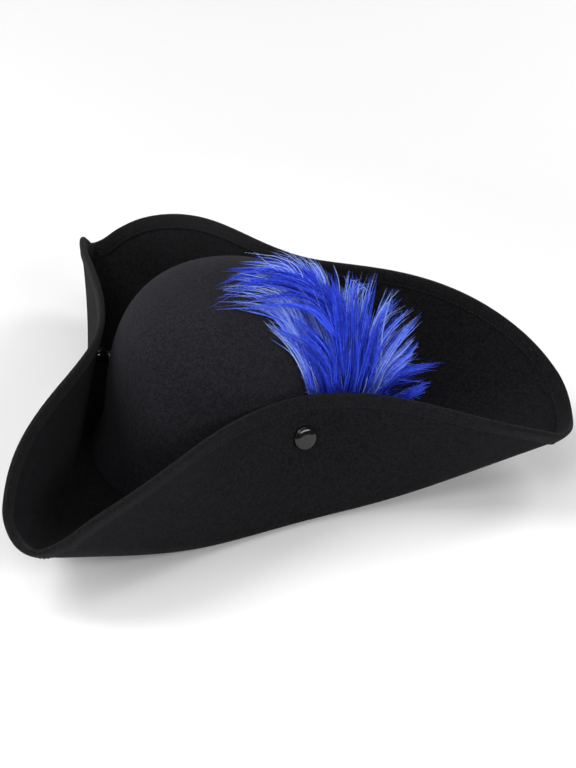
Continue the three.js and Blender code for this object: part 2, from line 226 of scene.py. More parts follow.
def addWall(piece, thickness, offset):
    wall = piece.modifiers.new("wall", "SOLIDIFY")
    wall.thickness = thickness * mm
    wall.offset = offset
    softened = piece.modifiers.new("softened", "SUBSURF")
    softened.levels = softened.render_levels = 1


def unit(vectors):
    return vectors / (np.linalg.norm(vectors, axis=-1, keepdims=True) + tiny)


def straightStrand(sides, stations):
    # one closed strand, with a ring of vertices at each whole height
    bm = bmesh.new()
    bmesh.ops.create_circle(bm, segments=sides, radius=1, cap_ends=True)
    edges = bm.edges[:]
    for _ in range(1, stations):
        verts, edges = nextRing(bm, edges)
        bmesh.ops.translate(bm, vec=Vector((0, 0, 1)), verts=verts)
    bmesh.ops.contextual_create(bm, geom=edges)
    bmesh.ops.recalc_face_normals(bm, faces=bm.faces)
    return bm


def arrayOf(name, bm, count):
    # copies of one strand in one mesh, all in the same place for now
    holder = placed(name + "Seed", meshFrom(name + "Seed", bm))
    row = holder.modifiers.new("row", "ARRAY")
    row.count = count
    row.use_relative_offset = False
    row.use_constant_offset = True
    row.constant_offset_displace = (0, 0, 0)
    graph = bpy.context.evaluated_depsgraph_get()
    mesh = bpy.data.meshes.new_from_object(holder.evaluated_get(graph))
    mesh.name = name
    bpy.data.objects.remove(holder)
    return mesh


strandFacing = (0.31, 0.22, 0.93)


def strandPiece(name, paths, radii, sides, flatness, material, facing=strandFacing, marks=None):
    # every copy is laid along its own path, flattened across the way that it faces
    count, stations = radii.shape
    bm = straightStrand(sides, stations)
    ring = np.array([round(v.co.z) for v in bm.verts])
    turn = np.array([atan2(v.co.y, v.co.x) for v in bm.verts])
    mesh = arrayOf(name, bm, count)
    along = unit(np.gradient(paths, axis=1))
    facing = np.broadcast_to(facing, (count, 3))
    side = unit(np.cross(along, facing[:, None, :]))
    through = np.cross(along, side)
    wide = radii[:, ring, None] * np.cos(turn)[None, :, None] * side[:, ring]
    thick = radii[:, ring, None] * flatness * np.sin(turn)[None, :, None] * through[:, ring]
    places = (paths[:, ring] + wide + thick) * mm
    places += np.array((middle.x, middle.y, 0))
    mesh.vertices.foreach_set("co", places.astype(np.float32).ravel())
    for label, values in (marks or {}).items():
        if values.ndim == 1:
            values = np.repeat(values[:, None], stations, axis=1)
        layer = mesh.attributes.new(label, "FLOAT", "POINT")
        layer.data.foreach_set("value", values[:, ring].astype(np.float32).ravel())
    mesh.update()
    return pieceOf(name, mesh, material)


# Finishes

noiseSpan = (0.3, 0.7)  # most of a noise's values lie between these

shaderLabels = {
    "roughness": "Roughness", "sheen": "Sheen Weight", "sheenRoughness": "Sheen Roughness",
    "sheenTint": "Sheen Tint", "specular": "Specular IOR Level",
}


class Nodes:
    def __init__(self, tree):
        self.tree = tree

    def add(self, kind, values=None, **settings):
        node = self.tree.nodes.new(kind)
        for key, value in settings.items():
            setattr(node, key, value)
        for key, value in (values or {}).items():
            if isinstance(value, bpy.types.NodeSocket):
                self.link(value, node.inputs[key])
            else:
                node.inputs[key].default_value = value
        return node

    def link(self, source, target):
        self.tree.links.new(source, target)

    def where(self):
        return self.add("ShaderNodeTexCoord").outputs["Object"]

    def math(self, operation, *values):
        return self.add("ShaderNodeMath", dict(enumerate(values)), operation=operation).outputs[0]

    def mix(self, share, first, second):
        return self.add("ShaderNodeMix", {0: share, 6: first, 7: second}, data_type="RGBA").outputs[2]

    def spread(self, value, low, high, toLow=0.0, toHigh=1.0):
        limits = {0: value, 1: low, 2: high, 3: toLow, 4: toHigh}
        return self.add("ShaderNodeMapRange", limits).outputs[0]

    def noise(self, vector, scale, detail=2.0, rough=0.5):
        look = {"Vector": vector, "Scale": scale, "Detail": detail, "Roughness": rough}
        return self.add("ShaderNodeTexNoise", look).outputs[0]

    def scaled(self, colour, amount):
        return self.add("ShaderNodeVectorMath", {0: colour, "Scale": amount}, operation="SCALE").outputs[0]

    def stretched(self, vector, turn, stretch):
        look = {"Vector": vector, "Rotation": turn, "Scale": stretch}
        return self.add("ShaderNodeMapping", look).outputs[0]

    def bump(self, strength, distance, height):
        look = {"Strength": strength, "Distance": distance, "Height": height}
        return self.add("ShaderNodeBump", look).outputs[0]


def newGroup(name, inputs, outputs):
    group = bpy.data.node_groups.new(name, "ShaderNodeTree")
    for label, kind, value in inputs:
        socket = group.interface.new_socket(name=label, in_out="INPUT", socket_type=kind)
        if value is not None:
            socket.default_value = value
    for label, kind in outputs:
        group.interface.new_socket(name=label, in_out="OUTPUT", socket_type=kind)
    nodes = Nodes(group)
    return group, nodes, nodes.add("NodeGroupInput").outputs, nodes.add("NodeGroupOutput").inputs


def newMaterial(name, look):
    material = bpy.data.materials.new(name)
    material.use_nodes = True
    material.diffuse_color = (*look["colour"], 1)
    shader = material.node_tree.nodes["Principled BSDF"].inputs
    shader["Base Color"].default_value = (*look["colour"], 1)
    for key, label in shaderLabels.items():
        if key in look:
            shader[label].default_value = look[key]
    return material, Nodes(material.node_tree), shader


# matted wool: fibre grain, small lighter hairs, and slow worn patches
wool = {
    "fineScale": 1150, "fineTone": (0.35, 1.65), "coarseScale": 430, "coarseTone": (-0.42, 0.42),
    "patchScale": 14, "patchSpan": (0.35, 0.65), "patchTone": (-0.09, 0.09),
    "hairScale": 1500, "hairTurn": (0.4, 0.9, 0.3), "hairStretch": (0.25, 1, 1), "hairSpan": (0.62, 0.74),
    "hairColour": (0.035, 0.035, 0.04, 1), "haze": (0.86, 0.98), "relief": 0.0011,
    "fineRelief": 0.6, "coarseRelief": 0.8, "hairRelief": 0.4,
    "roughness": 0.92, "sheenRoughness": 0.45, "sheenTint": (0.62, 0.62, 0.7, 1),
}


def makeWoolGroup():
    group, n, given, out = newGroup(
        "mattedWool",
        [("Where", "NodeSocketVector", None), ("Base", "NodeSocketColor", (0.02, 0.02, 0.02, 1)),
         ("Grain", "NodeSocketFloat", 0.5), ("Hairs", "NodeSocketFloat", 0.5)],
        [("Color", "NodeSocketColor"), ("Roughness", "NodeSocketFloat"), ("Normal", "NodeSocketVector")],
    )
    fine = n.noise(given["Where"], wool["fineScale"], 3, 0.6)
    coarse = n.noise(given["Where"], wool["coarseScale"], 3, 0.6)
    patches = n.noise(given["Where"], wool["patchScale"])
    drawn = n.stretched(given["Where"], wool["hairTurn"], wool["hairStretch"])
    hairs = n.spread(n.noise(drawn, wool["hairScale"], 1, 0.4), *wool["hairSpan"])
    grain = n.math("ADD", n.spread(fine, *noiseSpan, *wool["fineTone"]),
                   n.spread(coarse, *noiseSpan, *wool["coarseTone"]))
    tone = n.math("ADD", grain, n.spread(patches, *wool["patchSpan"], *wool["patchTone"]))
    dyed = n.scaled(given["Base"], tone)
    n.link(n.mix(n.math("MULTIPLY", hairs, given["Hairs"]), dyed, wool["hairColour"]), out["Color"])
    n.link(n.spread(coarse, *noiseSpan, *wool["haze"]), out["Roughness"])
    height = n.math("ADD", n.math("MULTIPLY", fine, wool["fineRelief"]),
                    n.math("MULTIPLY", coarse, wool["coarseRelief"]))
    height = n.math("ADD", height, n.math("MULTIPLY", hairs, wool["hairRelief"]))
    n.link(n.bump(given["Grain"], wool["relief"], height), out["Normal"])
    return group


def feltMaterial(name, group, look):
    material, n, shader = newMaterial(name, {**wool, **look})
    matted = n.add("ShaderNodeGroup", node_tree=group)
    n.link(n.where(), matted.inputs["Where"])
    matted.inputs["Base"].default_value = (*look["colour"], 1)
    matted.inputs["Grain"].default_value = look["grain"]
    matted.inputs["Hairs"].default_value = look["hairs"]
    for label, target in (("Color", "Base Color"), ("Roughness", "Roughness"), ("Normal", "Normal")):
        n.link(matted.outputs[label], shader[target])
    return material


# woven twill tape: fine diagonal ribs that follow the tape's own length, under wool fluff
twill = {
    "colour": (0.0092, 0.0088, 0.0098), "roughness": 0.9, "sheen": 0.055, "sheenRoughness": 0.4,
    "sheenTint": (0.7, 0.64, 0.68, 1), "specular": 0.05, "ribTurn": 0.9, "ribScale": 260, "ribWaver": 0.6,
    "ribTone": (0.85, 1.1), "fluffScale": 700, "fluffTone": (-0.7, 0.75), "haze": (0.72, 0.9),
    "ribRelief": 0.25, "relief": 0.0008, "reliefStrength": 0.9,
}


def tapeMaterial():
    material, n, shader = newMaterial("wovenTape", twill)
    lengthwise = n.add("ShaderNodeUVMap", uv_map="tapeLength").outputs[0]
    slanted = n.stretched(lengthwise, (0, 0, twill["ribTurn"]), (1, 1, 1))
    weave = {"Vector": slanted, "Scale": twill["ribScale"], "Distortion": twill["ribWaver"], "Detail": 2.0}
    ribs = n.add("ShaderNodeTexWave", weave).outputs[1]
    fluff = n.noise(n.where(), twill["fluffScale"], 4, 0.65)
    tone = n.math("ADD", n.spread(ribs, 0, 1, *twill["ribTone"]),
                  n.spread(fluff, *noiseSpan, *twill["fluffTone"]))
    n.link(n.scaled(twill["colour"], tone), shader["Base Color"])
    n.link(n.spread(fluff, *noiseSpan, *twill["haze"]), shader["Roughness"])
    height = n.math("ADD", n.math("MULTIPLY", ribs, twill["ribRelief"]), fluff)
    n.link(n.bump(twill["reliefStrength"], twill["relief"], height), shader["Normal"])
    return material


# sewing thread: darker and paler turns of the twist
thread = {
    "colour": (0.008, 0.0078, 0.0083), "roughness": 0.65, "sheen": 0.03, "specular": 0.08, "twistScale": 2600,
    "twistSpan": (0.35, 0.65), "dark": (0.006, 0.006, 0.0063, 1), "pale": (0.019, 0.018, 0.019, 1),
    "haze": (0.4, 0.65),
}


def threadMaterial():
    material, n, shader = newMaterial("sewingThread", thread)
    twist = n.noise(n.where(), thread["twistScale"], 1)
    n.link(n.mix(n.spread(twist, *thread["twistSpan"]), thread["dark"], thread["pale"]), shader["Base Color"])
    n.link(n.spread(twist, *noiseSpan, *thread["haze"]), shader["Roughness"])
    return material


# black lacquered cap: faint handling haze and dust on a glossy coat
lacquer = {
    "colour": (0.006, 0.006, 0.007), "roughness": 0.1, "specular": 0.46, "hazeScale": 420,
    "hazeSpan": (0.35, 0.7), "haze": (0.06, 0.16), "dustScale": 2400, "dustSpan": (0.68, 0.74),
    "dust": (0.03, 0.028, 0.028, 1),
    "relief": 0.0001, "reliefStrength": 0.15,
}


def lacquerMaterial():
    material, n, shader = newMaterial("lacqueredCap", lacquer)
    where = n.where()
    haze = n.noise(where, lacquer["hazeScale"], 4, 0.6)
    specks = n.spread(n.noise(where, lacquer["dustScale"], 1), *lacquer["dustSpan"])
    n.link(n.mix(specks, (*lacquer["colour"], 1), lacquer["dust"]), shader["Base Color"])
    n.link(n.spread(haze, *lacquer["hazeSpan"], *lacquer["haze"]), shader["Roughness"])
    n.link(n.bump(lacquer["reliefStrength"], lacquer["relief"], haze), shader["Normal"])
    return material


# dyed barbs: darker towards the bottom of the plume, by height, and in some strands; pale along others,
# partly their own lighter tone and partly painted highlight
dye = {
    "colour": (0.03, 0.06, 0.65), "roughness": 0.5, "sheen": 0.1, "sheenRoughness": 0.35,
    "sheenTint": (0.4, 0.5, 1, 1), "specular": 0.22, "mottleScale": 500, "mottleTone": (-0.15, 0.15),
    "deepest": (0.002, 0.008, 0.28, 1), "deep": (0.04, 0.105, 1, 1), "pale": (0.44, 0.6, 1, 1),
    "deepSpan": (0.05, 0.5), "paleSpan": (0.5, 1.0), "foot": (0.002, 0.006, 0.28, 1),
    "footSpan": (0.24, 0.68, 0.22, 1), "haze": (0.4, 0.62),
}


def barbMaterial():
    material, n, shader = newMaterial("dyedBarbs", dye)
    tone = n.add("ShaderNodeAttribute", attribute_name="tone").outputs["Fac"]
    along = n.add("ShaderNodeAttribute", attribute_name="along").outputs["Fac"]
    mottle = n.noise(n.where(), dye["mottleScale"], 3, 0.6)
    paleness = n.math("ADD", tone, n.spread(mottle, *noiseSpan, *dye["mottleTone"]))
    deep = n.mix(n.spread(paleness, *dye["deepSpan"]), dye["deepest"], dye["deep"])
    body = n.mix(n.spread(paleness, *dye["paleSpan"]), deep, dye["pale"])
    n.link(n.mix(n.spread(along, *dye["footSpan"]), dye["foot"], body), shader["Base Color"])
    n.link(n.spread(mottle, *noiseSpan, *dye["haze"]), shader["Roughness"])
    return material


# dyed quill: fine streaks up the shaft
shaft = {
    "colour": (0.03, 0.05, 0.4), "roughness": 0.45, "specular": 0.4, "streakScale": 900,
    "streakStretch": (1, 1, 0.12), "dark": (0.02, 0.03, 0.3, 1), "pale": (0.06, 0.09, 0.6, 1),
    "haze": (0.35, 0.6),
}


def quillMaterial():
    material, n, shader = newMaterial("dyedQuill", shaft)
    streaks = n.stretched(n.where(), (0, 0, 0), shaft["streakStretch"])
    grain = n.noise(streaks, shaft["streakScale"], 3, 0.6)
    n.link(n.mix(n.spread(grain, *noiseSpan), shaft["dark"], shaft["pale"]), shader["Base Color"])
    n.link(n.spread(grain, *noiseSpan, *shaft["haze"]), shader["Roughness"])
    return material


# Crown

# the crown's felt colour is set lighter than the brim's, though both are one black felt: painted light on the
# crown
crownSizes = {
    "height": 130, "squareness": 3.4, "sideShare": 0.905, "flareHeight": 14, "flareSharpness": 1.5,
    "columns": 96, "rows": 25, "footRise": 0.2, "footClimbs": (0.0005, 0.005), "rowCrowding": 1.35,
    "nearlyTop": 0.9999, "colour": (0.0122, 0.0117, 0.0146), "grain": 0.8, "hairs": 0.15, "sheen": 0.062,
    "specular": 0.08,
}


def makeCrown(material):
    columns, rows = crownSizes["columns"], crownSizes["rows"]
    climbs = [0, *crownSizes["footClimbs"]]  # close rows keep the foot's edge crisp
    climbs += [(row / rows) ** crownSizes["rowCrowding"] for row in range(1, rows + 1)]
    bm = flatRings(columns, len(climbs))
    top = []
    for vert in bm.verts:
        row = ringRow(vert.co)
        azimuth = 2 * pi * ringTurn(vert.co, columns) / columns
        point = crownPoint(azimuth, min(climbs[row], crownSizes["nearlyTop"]))
        if row == 0:
            point.z = felt["thickness"] + crownSizes["footRise"]
        if row == len(climbs) - 1:
            top.append(vert)
        vert.co = toScene(point)
    bmesh.ops.pointmerge(bm, verts=top, merge_co=toScene(crownPoint(0, 1)))
    bmesh.ops.recalc_face_normals(bm, faces=bm.faces)
    crown = pieceOf("feltCrown", meshFrom("feltCrown", bm), material, "crown")
    addWall(crown, felt["thickness"], offset=0)
    print("crown done")


# Brim

# the brim's felt colour is the darker copy of the same black felt that the crown wears lighter as painted
# light
brim = {
    "columnsPerFlap": 56, "rows": 30, "samples": 160, "cornerCrowding": 0.35, "bendWeight": 1.6,
    "colour": (0.0088, 0.0088, 0.0098), "grain": 0.85, "hairs": 0.15, "sheen": 0.022, "specular": 0.055,
}


def columnAzimuth(column, columns):
    # columns lie closer together at the corners
    share = 3 * column / columns
    k = int(share)
    share -= k
    start, end = flapSpan(k)
    shift = brim["cornerCrowding"] * sin(2 * pi * share) / (2 * pi)
    return radians(start + (end - start) * (share - shift))


def brimRadii(azimuth):
    # rows lie closer together through the bends
    inner = headRadius(azimuth)
    outer = flatReach(azimuth)
    radii, effort = [], []
    for i in range(brim["samples"] + 1):
        share = i / brim["samples"]
        radius = inner + (outer - inner) * share
        turned = 0
        for k in range(3):
            _, _, _, bend, _, arc = foldAt(k, radius * cos(azimuth), radius * sin(azimuth))
            turned += arc / bend
        radii.append(radius)
        effort.append(share + brim["bendWeight"] * turned / (pi / 2))
    wanted = np.linspace(0, effort[-1], brim["rows"] - 1)
    return [inner - felt["ledge"], *np.interp(wanted, effort, radii)]


def makeBrim(material):
    columns = 3 * brim["columnsPerFlap"]
    azimuths = [columnAzimuth(i, columns) for i in range(columns)]
    radii = [brimRadii(azimuth) for azimuth in azimuths]
    bm = flatRings(columns, brim["rows"])
    for vert in bm.verts:
        column = ringTurn(vert.co, columns)
        vert.co = toScene(brimPoint(azimuths[column], radii[column][ringRow(vert.co)]))
    piece = pieceOf("feltBrim", meshFrom("feltBrim", bm), material, "brim")
    addWall(piece, felt["thickness"], offset=0)
    print("brim done")


# Tape round the edge

tape = {
    "width": 9, "columnsPerFlap": 88, "thickness": 0.7, "pucker": 0.09, "puckerWave": 12.4,
    "puckerBeyond": -5, "upperFace": (-6, 2.2), "overlapAzimuth": 143.5, "overlapTurn": 3.2,
    "overlapRise": 0.7, "overlapStart": 0.3, "overlapEnd": 1.6,
}

# outer skin of the folded tape, from the border on the crown's side over the edge: how far beyond
# the brim's edge it lies, and how high on the brim; the lower half mirrors the upper
tapeSection = [
    (-9.2, 1.45), (-9.05, 2.0), (-8.4, 2.1), (-7.6, 1.95), (-6.6, 2.2),
    (-4.6, 2.4), (-2.2, 2.35), (-0.6, 2.15), (0.7, 1.6), (1.25, 0.6),
]
tapeSection += [(beyond, -height) for beyond, height in tapeSection[::-1]]


def tapeLift(azimuth):
    # one end of the tape is lapped over the other
    turn = (azimuth * 180 / pi - tape["overlapAzimuth"]) % 360
    left = tape["overlapTurn"] - turn
    if left < 0:
        return 0
    return tape["overlapRise"] * min(turn / tape["overlapStart"], 1) * min(left / tape["overlapEnd"], 1)


def tapePoint(azimuth, beyond, height):
    edge = flatReach(azimuth)
    if beyond <= 0:
        return brimSkin(azimuth, edge + beyond, height)
    outwards = (brimPoint(azimuth, edge) - brimPoint(azimuth, edge - 1)).normalized()
    return brimSkin(azimuth, edge, height) + outwards * beyond


def runOf(points):
    # length of a line of points up to each of them
    return np.cumsum([0] + [(there - here).length for here, there in zip(points, points[1:])])


def markTape(bm, columns, lengths):
    # the tape's own length and width go into its UV map
    steps = np.diff(tapeSection, axis=0)
    across = [0, *np.cumsum(np.hypot(steps[:, 0], steps[:, 1]))]
    lay = bm.loops.layers.uv.new("tapeLength")
    for face in bm.faces:
        turns = [ringTurn(loop.vert.co, columns) for loop in face.loops]
        wraps = max(turns) - min(turns) > 1
        for loop, turn in zip(face.loops, turns):
            length = lengths[columns] if wraps and turn == 0 else lengths[turn]
            loop[lay].uv = (length * mm, across[ringRow(loop.vert.co)] * mm)


def makeTape(material):
    columns = 3 * tape["columnsPerFlap"]
    azimuths = [columnAzimuth(i, columns) for i in range(columns)]
    edge = [tapePoint(azimuth, 0, 0) for azimuth in azimuths]
    lengths = runOf(edge + edge[:1])
    bm = flatRings(columns, len(tapeSection))
    markTape(bm, columns, lengths)
    for vert in bm.verts:
        column = ringTurn(vert.co, columns)
        beyond, height = tapeSection[ringRow(vert.co)]
        wave = sin(2 * pi * lengths[column] / tape["puckerWave"]) * tape["pucker"]
        grown = tapeLift(azimuths[column]) + wave * (beyond < tape["puckerBeyond"])
        side = 1 if height > 0 else -1
        vert.co = toScene(tapePoint(azimuths[column], beyond, height + side * grown))
    bm.normal_update()
    beyond, height = tape["upperFace"]
    probe = toScene(tapePoint(0, beyond, height))
    upper = min(bm.faces, key=lambda face: (face.calc_center_median() - probe).length)
    if upper.normal.dot(brimNormal(0, flatReach(0) + beyond)) < 0:
        bmesh.ops.reverse_faces(bm, faces=bm.faces)
    piece = pieceOf("edgeTape", meshFrom("edgeTape", bm), material, "edge_binding")
    addWall(piece, tape["thickness"], offset=-1)
    print("tape done")


# Stitches along the tape's border, on both faces

stitch = {
    "pitch": 3.1, "length": 2.3, "radius": 0.3, "fromBorder": 1.2, "tapeHeight": 2.0, "seat": 0.6,
    "dip": 0.35, "swell": (0.6, 1, 1, 1, 0.6), "sides": 5, "samples": 1400,
}


def makeStitches(material):
    shares = np.linspace(0, 1, len(stitch["swell"]))
    beyond = stitch["fromBorder"] - tape["width"]
    azimuths = np.linspace(0, 2 * pi, stitch["samples"] + 1)
    paths = []
    for side in (1, -1):
        run = runOf([tapePoint(azimuth, beyond, side * stitch["tapeHeight"]) for azimuth in azimuths])
        count = int(run[-1] / stitch["pitch"])
        pitch = run[-1] / count
        for i in range(count):
            path = []
            for share in shares:
                azimuth = np.interp(i * pitch + share * stitch["length"], run, azimuths)
                rise = stitch["tapeHeight"] + tapeLift(azimuth) + stitch["radius"] * stitch["seat"]
                rise -= stitch["dip"] * (2 * share - 1) ** 4
                path.append(tuple(tapePoint(azimuth, beyond, side * rise)))
            paths.append(path)
    radii = np.tile(np.array(stitch["swell"]) * stitch["radius"], (len(paths), 1))
    strandPiece("tapeStitches", np.array(paths), radii, stitch["sides"], 1, material)
    print("stitches done:", len(paths))


# Press studs

stud = {
    "fromEdge": 27.5, "capRadius": 8.5, "capDepth": 3.8, "shankRadius": 2.5, "socketRadius": 5.5,
    "socketWaist": 3.6, "socketLip": 0.4, "steps": 64, "sharpAngle": 50, "deepest": 60, "depthStep": 0.05,
    "mergeWithin": 0.001,
}

# cap, from its top to the felt: share of its radius, and depth
capProfile = [
    (0, 0), (0.25, 0.02), (0.43, 0.1), (0.6, 0.29), (0.75, 0.65), (0.86, 1.17), (0.935, 1.8), (0.975, 2.6),
    (1, 3.25), (0.985, 3.65), (0.93, 3.8),
]

# socket between flap and crown: radius, and share of the way to the crown
socketProfile = [(5.5, 0.35), (5, 0.45), (3.6, 0.75)]

# rivet head inside the crown: radius, and height on the felt
rivetProfile = [(5, 0), (4.8, 0.9), (3.4, 2.5), (1.4, 3.2), (0, 3.2)]


def studSeat(k):
    # the stud's place in the flap, its way in, and how far off the crown is
    start, end = flapSpan(k)
    azimuth = radians((start + end) / 2 + flaps[k]["studTurn"])
    radius = flatReach(azimuth) - stud["fromEdge"]
    point = brimPoint(azimuth, radius)
    inwards = brimNormal(azimuth, radius)
    for depth in np.arange(0, stud["deepest"], stud["depthStep"]):
        probe = point + inwards * depth
        reach = headRadius(atan2(probe.y, probe.x)) * crownShare(probe.z - felt["thickness"] / 2)
        if hypot(probe.x, probe.y) < reach + felt["thickness"] / 2:
            return point, inwards, depth
    raise RuntimeError("the stud misses the crown")


def studProfile(depth):
    # radius and place along the stud, from the cap's top to the rivet inside the crown
    outside, inside, past = -felt["thickness"] / 2, felt["thickness"] / 2, depth + felt["thickness"]
    shank, socket = stud["shankRadius"], stud["socketRadius"]
    waist, lip = stud["socketWaist"], stud["socketLip"]
    profile = [(share * stud["capRadius"], outside - stud["capDepth"] + below) for share, below in capProfile]
    profile += [(shank, outside), (shank, inside), (socket, inside)]
    profile += [(radius, share * depth) for radius, share in socketProfile]
    profile += [(waist + lip, depth - lip), (waist, depth), (shank, depth), (shank, past)]
    return profile + [(radius, past + height) for radius, height in rivetProfile]


def makeStud(k, material):
    point, inwards, depth = studSeat(k)
    bm = bmesh.new()
    verts = [bm.verts.new((radius, 0, along)) for radius, along in studProfile(depth)]
    edges = [bm.edges.new(pair) for pair in zip(verts, verts[1:])]
    bmesh.ops.spin(bm, geom=verts + edges, cent=(0, 0, 0), axis=(0, 0, 1), angle=2 * pi, steps=stud["steps"],
                   use_merge=True)
    bmesh.ops.remove_doubles(bm, verts=bm.verts, dist=stud["mergeWithin"])
    bmesh.ops.recalc_face_normals(bm, faces=bm.faces)
    turn = Vector((0, 0, 1)).rotation_difference(inwards).to_matrix()
    for vert in bm.verts:
        vert.co = toScene(point + turn @ vert.co)
    side = flaps[k]["side"]
    name = "stud" + side.capitalize()
    pieceOf(name, meshFrom(name, bm), material, "snap_" + side, stud["sharpAngle"])
    print(name, "done")


# Plume

quill = {
    "radius": 1.5, "thinning": 0.85, "thinningGrowth": 1.2, "stations": 40, "sides": 10, "flatness": 0.9,
    "trackSteps": 400, "risingShare": 0.5,
}

quillPoints = [
    (94.5, -6, 2.9),
    (88, -6, 45),
    (95, -3, 85),
    (91, -2, 115),
    (74, 1, 142),
    (48, -4, 154),
    (25, -13, 150),
    (8, -24, 141),
]

plume = {
    "seed": 11, "radius": 0.516, "radiusRange": (0.6, 1.15), "stations": 14, "sides": 4, "flatness": 0.55,
    "rootShare": 0.55, "rootGrowth": 1.3, "tipPower": 2.6, "tipShare": 0.06, "darkeningHeights": (68, 124),
    "tuftsPerLock": 4, "barbsPerTuft": 10, "shortestTuft": 0.6, "shortestBarb": 0.86, "wayWidth": 0.36,
    "lockWidth": 0.3, "shiftShape": (1, 1, 0.6), "tuftShape": (0.25, 0.75, 1, 0.95, 0.7),
    "barbSpread": 0.95, "looseShape": (0.5, 0.9, 1, 0.8, 0.28), "wobble": 0.35, "wildShare": 0.15,
    "wildSpread": 2.3, "wildShape": (0.4, 0.6, 0.8, 1, 1.3), "tuftTones": (0.46, 0.64), "toneSpread": 0.24,
    "wildTone": 0.3, "backTone": 0.5, "paintedShadeByHeight": ((85, 125), (0.45, 1)), "groupLimits": (60, 92),
    "lowestRoot": 50, "rootBelow": 12, "rootSlant": 1.3, "footSheet": (0.7, 0.7, 0),
    "tipSheet": (0.3, 0.95, 0), "spring": 0.5, "tangentStep": 0.01, "startBelow": 0.07,
}

